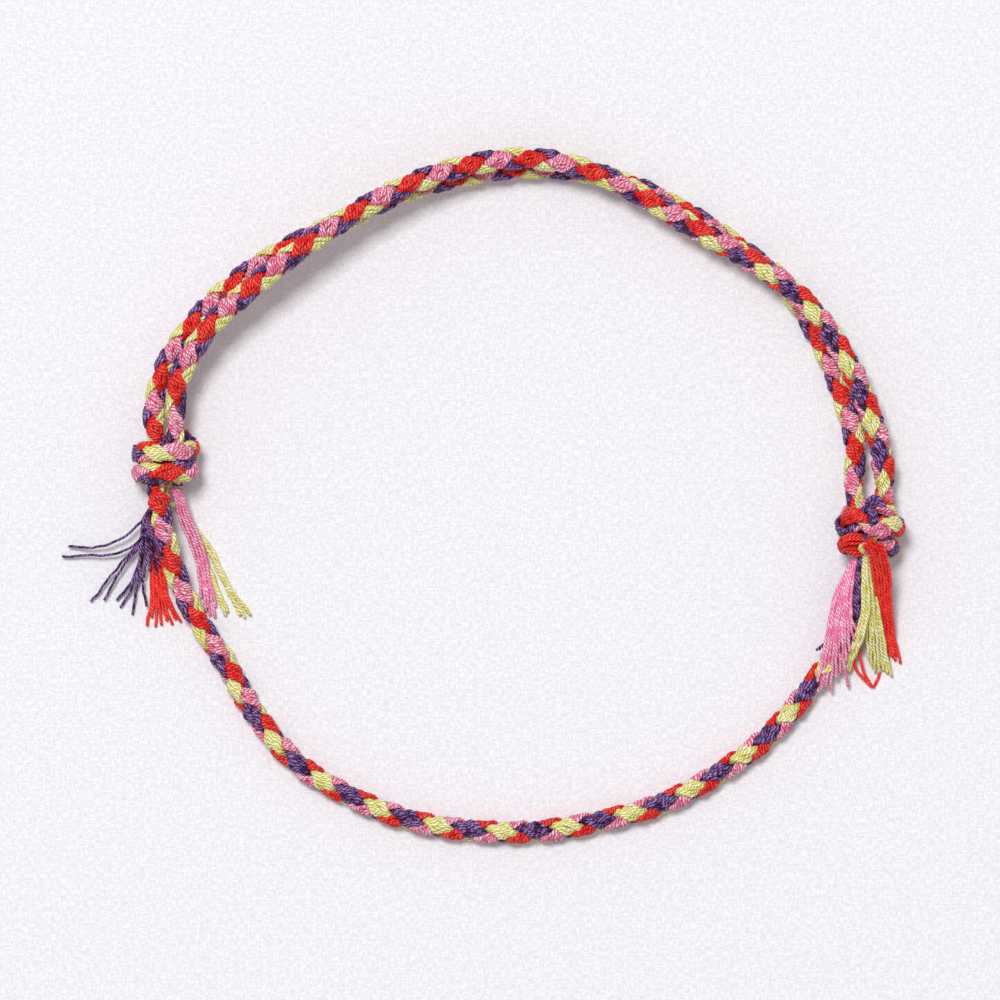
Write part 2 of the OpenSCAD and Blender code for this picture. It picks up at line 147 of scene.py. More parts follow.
RIGHT_TIE = [
    (-1.55, 4.0, -0.5, 57.8, 0, -240, 0.85, 0.9),
    (-1.4, 2.4, -0.3, 58.05, 0, -245, 0.66, 0.75),
    (-0.9, 0.3, -0.5, 58.3, 0, -260, 0.5, 0.62),
    (-0.8, -1.6, -0.7, 58.5, -10, -270, 0.5, 0.6),
    (-1.1, -2.5, -1.3, 58.62, -60, -270, 0.5, 0.58),
    (-0.8, -2.5, -2.05, 58.75, -120, -270, 0.5, 0.6),
    (0.3, -2.1, -2.2, 58.95, -180, -270, 0.54, 0.62),
    (1.4, -1.6, -1.5, 59.2, -225, -240, 0.6, 0.85),
    (1.8, -1.5, 0.0, 59.5, -270, -225, 0.62, 1),
    (1.1, -1.5, 0.8, 59.8, -310, -235, 0.6, 1),
    (-0.3, -1.4, 0.75, 60.1, -360, -260, 0.46, 0.9),
    (-1.75, -1.2, 1.3, 60.3, -410, -276, 0.9, 1.6),
    (-2.3, -1.2, -0.4, 60.6, -450, -276, 0.9, 1.5),
    (0.0, 0.0, -2.2, 61.45, -540, -300, 0.58, 0.8),
    (2.35, 0.35, 0.0, 62.2, -630, -315, 0.7, 1.1),
    (1.2, 0.15, 1.9, 62.6, -690, -318, 0.7, 1.1),
    (0.0, 0.4, 2.2, 62.92, -720, -290, 0.7, 1.1),
    (-1.3, 1.0, 1.9, 63.2, -750, -242, 0.7, 1.5),
    (-2.25, 0.5, 0.2, 63.5, -810, -225, 0.8, 1.5),
    (-1.2, 1.9, -1.9, 63.7, -870, -215, 0.56, 0.76),
    (0.8, 1.9, -1.9, 63.9, -930, -195, 0.54, 0.62),
    (1.75, 1.5, -0.5, 64.08, -990, -170, 0.54, 0.6),
    (1.05, 2.1, 0.7, 64.28, -1045, -160, 0.6, 0.7),
    (0.0, 2.4, 0.9, 64.5, -1065, -165, 0.55, 0.68),
    (-0.35, 2.0, 1.0, 64.75, -1075, -165, 0.52, 0.62),
    (-0.2, 0.6, 0.75, 65.1, -1080, -160, 0.48, 0.6),
    (-0.2, -0.5, 1.3, 65.4, -1080, -125, 0.5, 0.6),
    (-0.3, -1.4, 2.0, 65.75, -1080, -95, 0.54, 0.64),
]

# The squeeze of the cord along the arcs. It is over 1, because a cord that lies free is fuller.
ARC_FULL = 1.2
# How far the route swings out between two of its points
FULLNESS = 1.12
# Powers of the squeeze of height and width. They are under 1 because threads give way in the knots
# and fill more room than their strands' own squeeze leaves them.
GIVE_HIGH, GIVE_WIDE = 0.75, 0.6

# The braid: how far a strand's outer and inner run are from the cord's middle, and how flat the
# outer run is, from 1 for round to 0 for flat
RUN_OUTER = 0.63 * MM
RUN_INNER = 0.25 * MM
RUN_ROUND = 0.55
# The strands: the share of a turn by which each is ahead, and the way that it winds
STRANDS = {"red": (0.25, -1), "pink": (0.75, -1), "purple": (0, 1), "lime": (0.5, 1)}
# Turns at which a strand lies deeper in the cord or fuller than the others. Each row is a turn and
# the share of its usual size that the strand has there.
PRESSED = {
    "lime": [
        (4.5, 1), (4.62, 0.7), (4.88, 0.7), (5.0, 1), (39.9, 1), (40.1, 0.4), (40.5, 0.4),
        (40.7, 1), (59.9, 1), (60.1, 0.35), (60.5, 0.35), (60.8, 1), (62.3, 1), (62.5, 1.15),
        (62.88, 1.15), (62.98, 0.2), (63.3, 0.2), (63.5, 1),
    ],
    "purple": [
        (59.9, 1), (60.2, 0.8), (60.6, 0.8), (60.9, 1), (62.45, 1), (62.6, 0.55), (62.83, 0.55),
        (62.97, 1.6), (63.6, 1.5), (63.8, 1),
    ],
    "red": [
        (39.7, 1), (40.0, 1.25), (40.4, 1.25), (40.7, 1), (59.9, 1), (60.15, 1.4), (60.6, 1.4),
        (60.85, 1),
    ],
    "pink": [
        (59.9, 1), (60.15, 0.7), (60.6, 0.7), (60.85, 1), (62.7, 1), (62.85, 1.2), (63.0, 1.6),
        (63.2, 1.6), (63.32, 0.7), (63.5, 1),
    ],
}

# A strand's bundle: its threads lie side by side round an oval, which is wide and flat on the
# strand's outer run and bunched on its inner run. The oval bends round the cord's middle.
THREADS = 12
THREAD_R = 0.16 * MM
OVAL_OUTER = (0.14 * MM, 0.73 * MM)
OVAL_INNER = (0.22 * MM, 0.24 * MM)
OVAL_BEND = 1.1 * MM
# How evenly the threads lie across the oval, up to 1 for equal steps
EVENNESS = 0.98
# The share of the oval that a thread goes round in a turn of the braid
DRIFT = 0.11
# How far a thread strays round the oval, as a share of it, and in thickness and width, and the
# length of those waves in turns
SLIP, SLIP_WAVE = 0.022, 3.1
WANDER, THICK_WAVE, WIDE_WAVE = 0.035 * MM, 1.7, 2.3
# A random wave is made of three, whose lengths are these shares of its own
WAVE_SHARES = (1.0, 0.63, 0.41)

# The tubes that stand for threads: sides, and rings in a turn of the braid and in a loose thread
SIDES = 5
RINGS_PER_TURN = 18
LOOSE_RINGS = 60
# A thread is two plies, which turn round each other once in this length. They run ahead or behind
# by a share of a turn, in waves that are so many turns of theirs long.
PLY_PITCH = 0.74 * MM
PLY_SLIP, PLY_WAVE = 0.3, 9


def from_knot(knot, rows):
    """Rows of the route, in metres, from a knot's table."""
    return [[*((np.add(knot, row[:3]) - BOX_MIDDLE) * MM), *row[3:]] for row in rows]


def from_arc(rows, start):
    """Rows of the route, in metres, from an arc's table."""
    return [
        [*(np.subtract(row[:3], BOX_MIDDLE) * MM), start + i, 0, row[3], ARC_FULL, ARC_FULL]
        for i, row in enumerate(rows)
    ]


def unit(vectors):
    """Vectors of length 1 in the directions of these."""
    return vectors / np.linalg.norm(vectors, axis=-1, keepdims=True)


def headings(places):
    """Direction of a path at each of its points, weighted towards the nearer neighbour."""
    steps = np.diff(places, axis=0)
    lengths = np.linalg.norm(steps, axis=1)[:, None]
    ways = steps / lengths
    inner = unit(ways[:-1] * lengths[1:] + ways[1:] * lengths[:-1])
    return np.vstack([ways[:1], inner, ways[-1:]])


def curve(start, end, leave, arrive, t):
    """Places and directions at shares t of a smooth path from start to end. Leave and arrive are
    its directions there, and the longer they are, the further it swings out."""
    place = (
        start * (2 * t**3 - 3 * t**2 + 1) + leave * (t**3 - 2 * t**2 + t)
        + end * (3 * t**2 - 2 * t**3) + arrive * (t**3 - t**2)
    )
    way = (
        (start - end) * 6 * (t**2 - t)
        + leave * (3 * t**2 - 4 * t + 1) + arrive * (3 * t**2 - 2 * t)
    )
    return place, unit(way)


ROUTE = np.array(
    from_knot(KNOT_LEFT, LEFT_TIE)
    + from_arc(OVER_ARC, OVER_START)
    + from_knot(KNOT_RIGHT, RIGHT_PASS)
    + from_arc(UNDER_ARC, UNDER_START)
    + from_knot(KNOT_LEFT, LEFT_PASS)
    + from_arc(INNER_ARC, INNER_START)
    + from_knot(KNOT_RIGHT, RIGHT_TIE)
)
PLACES, TURNS = ROUTE[:, :3], ROUTE[:, 3]
LEANS, ROLLS = np.radians(ROUTE[:, 4]), np.radians(ROUTE[:, 5])
HIGH, WIDE = ROUTE[:, 6] ** GIVE_HIGH, ROUTE[:, 7] ** GIVE_WIDE
WAYS = headings(PLACES)
FIRST_TURN, LAST_TURN = TURNS[0], TURNS[-1]


def cord_at(turn):
    """The cord at an array of turns: middle, upper side and right side, both squeezed, and roll."""
    i = np.clip(np.searchsorted(TURNS, turn, side="right") - 1, 0, len(TURNS) - 2)
    share = (turn - TURNS[i]) / (TURNS[i + 1] - TURNS[i])
    start, end = PLACES[i], PLACES[i + 1]
    pull = np.linalg.norm(end - start, axis=1)[:, None] * FULLNESS
    middle, ahead = curve(start, end, WAYS[i] * pull, WAYS[i + 1] * pull, share[:, None])
    lean, roll, high, wide = (
        column[i] * (1 - share) + column[i + 1] * share for column in (LEANS, ROLLS, HIGH, WIDE)
    )
    out = np.column_stack([np.sin(lean), np.zeros(len(lean)), np.cos(lean)])
    up = unit(out - ahead * np.sum(out * ahead, axis=1)[:, None])
    right = np.cross(ahead, up)
    return middle, up * high[:, None], right * wide[:, None], roll


def turned(x, y, angle):
    """Coordinates x and y turned about the origin."""
    return x * np.cos(angle) - y * np.sin(angle), x * np.sin(angle) + y * np.cos(angle)


def even(angle):
    """A sine made straight, so that even angles give even steps across a strand."""
    return np.arcsin(np.sin(angle) * EVENNESS) * 2 / math.pi


def outer_run(swing):
    """A strand's distance from the cord's middle at a sine or cosine, where it runs outside."""
    return RUN_OUTER * np.sign(swing) * np.abs(swing) ** RUN_ROUND


def inner_run(swing):
    """A strand's distance from the cord's middle at a sine or cosine, where it runs inside."""
    return RUN_INNER * swing * np.abs(swing)


def in_strand(strand, turn, angle, thick, wide):
    """Places round a strand's oval at an array of turns, moved by the lengths thick and wide."""
    ahead, winding = STRANDS[strand]
    middle, up, right, roll = cord_at(turn)
    face = 2 * math.pi * (turn + ahead if winding > 0 else 0.25 - turn - ahead)
    # 1 where the strand runs outside, and 0 where it runs inside
    share = np.cos(face) ** 2 if winding > 0 else np.sin(face) ** 2
    oval_thick, oval_wide = (
        outer * share + inner * (1 - share) for outer, inner in zip(OVAL_OUTER, OVAL_INNER)
    )
    size = np.interp(turn, *np.transpose(PRESSED[strand]))
    wide = wide + oval_wide * size * even(angle)
    thick = thick + oval_thick * np.cos(angle) - wide**2 / (2 * OVAL_BEND)
    first, second = (outer_run, inner_run) if winding > 0 else (inner_run, outer_run)
    dx, dy = turned(thick, wide, face)
    px, py = turned(size * first(np.cos(face)) + dx, size * second(np.sin(face)) + dy, roll)
    return middle + up * px[:, None] + right * py[:, None]


def waves(turn, rng, length):
    """A smooth random curve, mostly from -1 to 1, with waves of about that length in turns."""
    total = np.zeros(len(turn))
    for share in WAVE_SHARES:
        total += np.sin(2 * math.pi * (turn / (length * share) + rng.random())) / 2
    return total


def thread_in_strand(strand, number, turn, rng):
    """Places along one thread of a strand, at an array of turns."""
    slip = SLIP * waves(turn, rng, SLIP_WAVE)
    angle = 2 * math.pi * (number / THREADS + DRIFT * turn + slip)
    thick, wide = WANDER * waves(turn, rng, THICK_WAVE), WANDER * waves(turn, rng, WIDE_WAVE)
    return in_strand(strand, turn, angle, thick, wide)


def tube_frames(paths):
    """Two directions across each of several paths with equal numbers of points, without twist."""
    ways = unit(np.gradient(paths, axis=1))
    side = np.zeros_like(paths)
    side[:, 0] = unit(np.cross(ways[:, 0], (0, 0, 1)))
    for j in range(1, paths.shape[1]):
        along = np.sum(side[:, j - 1] * ways[:, j], axis=1)[:, None]
        side[:, j] = unit(side[:, j - 1] - ways[:, j] * along)
    return side, np.cross(ways, side)


def ply_turns(paths):
    """The turns that the plies have made at each point of several paths."""
    count, rings = paths.shape[:2]
    steps = np.linalg.norm(np.diff(paths, axis=1), axis=2)
    along = np.concatenate([np.zeros((count, 1)), np.cumsum(steps, axis=1)], axis=1) / PLY_PITCH
    rng = np.random.default_rng(count + rings)
    return along + np.array([rng.random() + waves(row, rng, PLY_WAVE) * PLY_SLIP for row in along])


def tubes(name, paths, radius, loose_lit_tone=0):
    """One mesh of closed tubes along paths with equal numbers of points. Its map twist gives the
    place round a tube, and along it in turns of the plies. Its attribute gives the share, at each
    ring, of the painted lit tone of loose threads, from 0 in the cord to 1."""
    count, rings = paths.shape[:2]
    side, other = tube_frames(paths)
    angles = 2 * math.pi * np.arange(SIDES) / SIDES
    out = side[:, :, None] * np.cos(angles)[:, None] + other[:, :, None] * np.sin(angles)[:, None]
    points = (paths[:, :, None] + out * radius).reshape(-1, 3)
    number = np.arange(len(points)).reshape(count, rings, SIDES)
    after = np.roll(number, -1, axis=2)
    quads = np.stack([number[:, :-1], after[:, :-1], after[:, 1:], number[:, 1:]], axis=-1)
    caps = np.concatenate([number[:, 0, ::-1], number[:, -1]])
    mesh = bpy.data.meshes.new(name)
    mesh.from_pydata(points.tolist(), [], quads.reshape(-1, 4).tolist() + caps.tolist())

    along = ply_turns(paths)
    around = np.arange(SIDES + 1) / SIDES
    u0 = np.broadcast_to(around[:-1], (count, rings - 1, SIDES))
    u1 = np.broadcast_to(around[1:], u0.shape)
    v0 = np.broadcast_to(along[:, :-1, None], u0.shape)
    v1 = np.broadcast_to(along[:, 1:, None], u0.shape)
    uv = np.stack([u0, v0, u1, v0, u1, v1, u0, v1], axis=-1).reshape(-1)
    layer = mesh.uv_layers.new(name="twist")
    layer.data.foreach_set("uv", np.concatenate([uv, np.zeros(caps.size * 2)]))

    # The share of the painted lit tone of loose threads, at each point
    share = np.broadcast_to(np.reshape(loose_lit_tone, (1, -1, 1)), number.shape)
    values = mesh.attributes.new("loose_lit_tone", "FLOAT", "POINT")
    values.data.foreach_set("value", share.astype(np.float32).reshape(-1))
    mesh.shade_smooth()
    piece = bpy.data.objects.new(name, mesh)
    bpy.context.scene.collection.objects.link(piece)
    return piece


# Materials. The tones of a colour are painted shade between the plies, the thread's colour on their
# sides, painted highlights on their crests, and a painted lit tone on the sides of the plies of a
# loose thread.
TONES = {
    "red": dict(
        ply_gap_shade=(0.42, 0.002, 0.003), side=(0.81, 0.004, 0.004),
        crest_glint=(1.0, 0.11, 0.08), loose_lit_tone=(1.0, 0.03, 0.02),
    ),
    "pink": dict(
        ply_gap_shade=(0.52, 0.055, 0.13), side=(0.86, 0.17, 0.31),
        crest_glint=(1.0, 0.68, 0.80), loose_lit_tone=(1.0, 0.25, 0.50),
    ),
    "purple": dict(
        ply_gap_shade=(0.010, 0.001, 0.016), side=(0.045, 0.004, 0.068),
        crest_glint=(0.42, 0.22, 0.58), loose_lit_tone=(0.035, 0.002, 0.045),
    ),
    "lime": dict(
        ply_gap_shade=(0.50, 0.43, 0.08), side=(0.85, 0.80, 0.20),
        crest_glint=(1.0, 1.0, 0.74), loose_lit_tone=(0.78, 0.68, 0.16),
    ),
}
# How far a loose thread takes its painted lit tone, lighter for red and pink as painted sheen and
# darker for purple and lime as painted shade
LOOSE_LIT_SHARE = 0.75
# The plies: the power that narrows their crests, how far the sides' tone reaches down into the
# painted shade between them, and the depth and the strength of their bump
CREST_POWER = 1.1
SIDE_REACH = 1.3
PLY_DEPTH = 0.1 * MM
PLY_BUMP = 0.7
# The painted highlights, bright flecks on the crests: the scale of their noise, its gain and what
# is then cut off it, and the power that keeps them to the crests
FLECK_SCALE = 1600
FLECK_GAIN = 5.5
FLECK_CUT = 2.05
FLECK_POWER = 3
# The fine fibres in the bump: their noise's scale, and their height as a share of the plies'
FIBRE_SCALE = 9000
FIBRE_HEIGHT = 0.25
# Layers of detail in the noises of the flecks and the fibres
NOISE_DETAIL = 2
# The finish of a thread
THREAD_ROUGHNESS = 0.36
THREAD_SPECULAR = 0.3
# The floor is finely woven: the scales of its noise along and across a thread of the weave, the
# gain of the noise and what is then cut off it, and the tones between the threads, a painted shade,
# and on them
WEAVE_ALONG, WEAVE_ACROSS = 2000, 5600
WEAVE_GAIN = 3.2
WEAVE_CUT = 1.35
FLOOR_WEAVE_SHADE = (0.79, 0.775, 0.82)
FLOOR_TOP = (0.955, 0.945, 0.98)
FLOOR_ROUGHNESS = 0.9


class Nodes:
    """A new material and its node tree."""

    def __init__(self, name):
        self.material = bpy.data.materials.new(name)
        self.material.use_nodes = True
        self.nodes, self.links = self.material.node_tree.nodes, self.material.node_tree.links
        self.shader = self.nodes["Principled BSDF"]

    def add(self, kind, *sources):
        """A node, with a value or another node's socket for each of its first inputs."""
        node = self.nodes.new("ShaderNode" + kind)
        for socket, source in zip(node.inputs, sources):
            if isinstance(source, (int, float, tuple)):
                socket.default_value = source
            else:
                self.links.new(source, socket)
        return node

    def math(self, operation, *sources):
        """The result of an operation on values or sockets."""
        node = self.add("Math", *sources)
        node.operation = operation
        return node.outputs[0]

    def stretched(self, place, shares):
        """Places multiplied along each axis."""
        node = self.add("VectorMath", place, shares)
        node.operation = "MULTIPLY"
        return node.outputs[0]

    def noise(self, place, scale, detail):
        """Noise between 0 and 1."""
        node = self.add("TexNoise", place)
        node.inputs["Scale"].default_value = scale
        node.inputs["Detail"].default_value = detail
        return node.outputs[0]

    def mix(self, first, second, share):
        """A colour between two, each given by its values or by a socket."""
        node = self.nodes.new("ShaderNodeMix")
        node.data_type = "RGBA"
        self.links.new(share, node.inputs["Factor"])
        for socket, colour in ((node.inputs["A"], first), (node.inputs["B"], second)):
            if isinstance(colour, tuple):
                socket.default_value = (*colour, 1)
            else:
                self.links.new(colour, socket)
        return node.outputs["Result"]

    def coordinates(self):
        """Places on the object, in metres."""
        return self.add("TexCoord").outputs["Object"]

    def tie(self, source, name):
        """Feeds a socket into one of the shader's inputs."""
        self.links.new(source, self.shader.inputs[name])


def thread_material(name, ply_gap_shade, side, crest_glint, loose_lit_tone):
    """Glossy twisted thread: a bump and the tones follow the plies of the tubes' map. The tones are
    painted shade between the plies, painted highlights on their crests, and a painted lit tone on
    loose threads.
    """
    tree = Nodes("thread_" + name)
    uv = tree.add("UVMap")
    uv.uv_map = "twist"
    split = tree.add("SeparateXYZ", uv.outputs[0])
    phase = tree.math("ADD", split.outputs[0], split.outputs[1])
    ply = tree.math("ABSOLUTE", tree.math("COSINE", tree.math("MULTIPLY", phase, 2 * math.pi)))
    ridge = tree.math("POWER", ply, CREST_POWER)

    place = tree.coordinates()
    # Painted highlights: bright flecks of the crest tone, kept to the crests of the plies
    patches = tree.noise(place, FLECK_SCALE, NOISE_DETAIL)
    glint_fleck = tree.math("SUBTRACT", tree.math("MULTIPLY", patches, FLECK_GAIN), FLECK_CUT)
    top = tree.math("POWER", ply, FLECK_POWER)
    glint = tree.math("MULTIPLY", top, tree.math("MAXIMUM", glint_fleck, 0))
    # Painted shade: the tone between the plies darkens their hollows
    body = tree.mix(ply_gap_shade, side, tree.math("MULTIPLY", ridge, SIDE_REACH))
    # Painted light: loose threads take a lit copy of their tone, lighter red and pink as painted
    # sheen, darker purple and lime as painted shade
    lit_tone_share = tree.add("Attribute")
    lit_tone_share.attribute_name = "loose_lit_tone"
    body = tree.mix(body, loose_lit_tone, tree.math("MULTIPLY", lit_tone_share.outputs["Fac"], LOOSE_LIT_SHARE))
    # The painted highlights go over the thread's tone
    tree.tie(tree.mix(body, crest_glint, glint), "Base Color")

    fibres = tree.noise(place, FIBRE_SCALE, NOISE_DETAIL)
    bump = tree.add("Bump")
    bump.inputs["Strength"].default_value = PLY_BUMP
    bump.inputs["Distance"].default_value = PLY_DEPTH
    height = tree.math("ADD", ridge, tree.math("MULTIPLY", fibres, FIBRE_HEIGHT))
    tree.links.new(height, bump.inputs["Height"])
    tree.tie(bump.outputs[0], "Normal")

    tree.shader.inputs["Roughness"].default_value = THREAD_ROUGHNESS
    tree.shader.inputs["Specular IOR Level"].default_value = THREAD_SPECULAR
    return tree.material


def floor_material():
    """Pale floor, whose weave is two noises stretched across each other, with painted shade between
    its threads.
    """
    tree = Nodes("floor")
    place = tree.coordinates()
    weave = [
        tree.noise(tree.stretched(place, scales), scale=1, detail=1)
        for scales in ((WEAVE_ACROSS, WEAVE_ALONG, 1), (WEAVE_ALONG, WEAVE_ACROSS, 1))
    ]
    cover = tree.math("MAXIMUM", *weave)
    tone = tree.math("SUBTRACT", tree.math("MULTIPLY", cover, WEAVE_GAIN), WEAVE_CUT)
    # Painted shade: the tone between the weave's threads is darker
    tree.tie(tree.mix(FLOOR_WEAVE_SHADE, FLOOR_TOP, tone), "Base Color")
    tree.shader.inputs["Roughness"].default_value = FLOOR_ROUGHNESS
    return tree.material


MATERIALS = {name: thread_material(name, **tones) for name, tones in TONES.items()}


def place_piece(piece, node, colour):
    """Gives a piece its colour, and puts it in a CAD node's place."""
    piece.data.materials.append(MATERIALS[colour])
    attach(piece, "root")
    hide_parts(node)


def make_strand(colour, seed):
    """One piece for the threads of a strand, from end to end of the cord."""
    rng = np.random.default_rng(seed)
    turns = np.linspace(FIRST_TURN, LAST_TURN, int((LAST_TURN - FIRST_TURN) * RINGS_PER_TURN))
    paths = np.array([thread_in_strand(colour, k, turns, rng) for k in range(THREADS)])
    place_piece(tubes("threads_" + colour, paths, THREAD_R), "strand_" + colour, colour)


for seed, colour in enumerate(STRANDS, 1):
    make_strand(colour, seed)

# The tassels. The threads of a colour lie in fans. A row of a fan is its middle, measured from the
# knot's middle but for its height above the floor, and half its width. The tips are the ends of its
# threads, measured in the same way and in order across the fan.
TASSEL_LEFT = {
    "purple": [
        dict(
            rows=[
                (-1.9, -4.8, 1.2, 0), (-2.5, -6.9, 1.0, 0), (-4.6, -8.05, 1.0, 0),
                (-6.9, -8.2, 0.8, 0),
            ],
            tips=[(-9.44, -8.32, 0.5)],
        ),
        dict(
            rows=[
                (-1.8, -4.6, 1.5, 0), (-3.0, -5.9, 1.3, 0), (-4.9, -7.1, 1.2, 0),
                (-6.9, -7.5, 0.9, 0),
            ],
            tips=[(-8.85, -7.4, 0.6)],
        ),
        dict(
            rows=[(-1.9, -4.8, 1.4, 0.1), (-2.3, -6.9, 1.1, 0.12), (-3.9, -8.9, 0.9, 0.15)],
            tips=[(-6.83, -12.39, 0.4), (-5.62, -12.21, 0.4)],
        ),
        dict(
            rows=[(-1.9, -4.8, 1.0, 0.1), (-2.2, -8.0, 0.8, 0.1), (-2.8, -10.4, 0.6, 0.25)],
            tips=[(-4.49, -12.28, 0.35), (-4.16, -12.93, 0.3), (-3.14, -13.54, 0.25)],
        ),
        dict(
            rows=[
                (-1.9, -4.7, 1.7, 0), (-2.2, -6.8, 1.4, 0), (-2.4, -9.0, 1.2, 0),
                (-2.1, -11.2, 0.9, 0),
            ],
            tips=[(-1.79, -12.75, 0.7)],
        ),
        dict(
            rows=[(-1.7, -4.6, 1.5, 0.1), (-1.55, -6.2, 1.25, 0.3), (-1.4, -8.0, 1.15, 0.4)],
            tips=[(-2.0, -10.2, 0.9), (-1.5, -9.6, 1.0), (-0.9, -9.9, 0.9), (-0.6, -9.2, 1.0)],
        ),
    ],
    "red": [
        dict(
            rows=[
                (-1.2, -4.2, 1.0, 0.3), (-1.3, -6.6, 0.7, 0.4), (-0.9, -9.3, 0.5, 0.55),
                (-0.65, -12, 0.35, 0.75),
            ],
            tips=[
                (-1.76, -14.55, 0.25), (-1.35, -13.83, 0.3), (-0.95, -14.63, 0.2),
                (-0.44, -14.5, 0.25), (0.01, -14.1, 0.3), (0.46, -14.37, 0.2), (0.82, -14.0, 0.25),
                (1.25, -14.19, 0.2),
            ],
        ),
    ],
    "pink": [
        dict(
            rows=[
                (0.45, -2.3, 2.3, 0.22), (1.65, -4.9, 1.6, 0.42), (2.8, -7.6, 0.9, 0.45),
                (3.3, -9.8, 0.5, 0.4),
            ],
            tips=[
                (3.1, -12.0, 0.25), (3.52, -13.29, 0.25), (3.88, -13.61, 0.3), (4.33, -13.83, 0.25),
            ],
        ),
        dict(
            rows=[
                (0.55, -2.3, 2.0, 0.25), (1.75, -4.9, 1.3, 0.4), (2.9, -7.6, 0.6, 0.4),
                (3.5, -10.0, 0.35, 0.35),
            ],
            tips=[(3.4, -11.9, 0.45), (3.7, -13.0, 0.4), (4.1, -12.3, 0.5), (4.4, -12.9, 0.25)],
        ),
    ],
    "lime": [
        dict(
            rows=[
                (1.0, -3.7, 0.8, 0.1), (2.2, -5.5, 0.45, 0.15), (3.3, -6.9, 0.35, 0.2),
                (5.9, -11.8, 0.3, 0.22),
            ],
            tips=[(6.6, -13.6, 0.25), (7.03, -13.83, 0.3), (7.3, -13.4, 0.25), (7.6, -13.56, 0.3)],
        ),
        dict(
            rows=[
                (1.1, -4.0, 0.6, 0.1), (2.5, -6.8, 0.3, 0.1), (3.9, -9.8, 0.2, 0.12),
                (4.6, -11.5, 0.2, 0.12),
            ],
            tips=[(4.9, -12.9, 0.2), (5.2, -13.5, 0.2), (5.3, -13.65, 0.25), (5.5, -13.4, 0.25)],
        ),
    ],
}
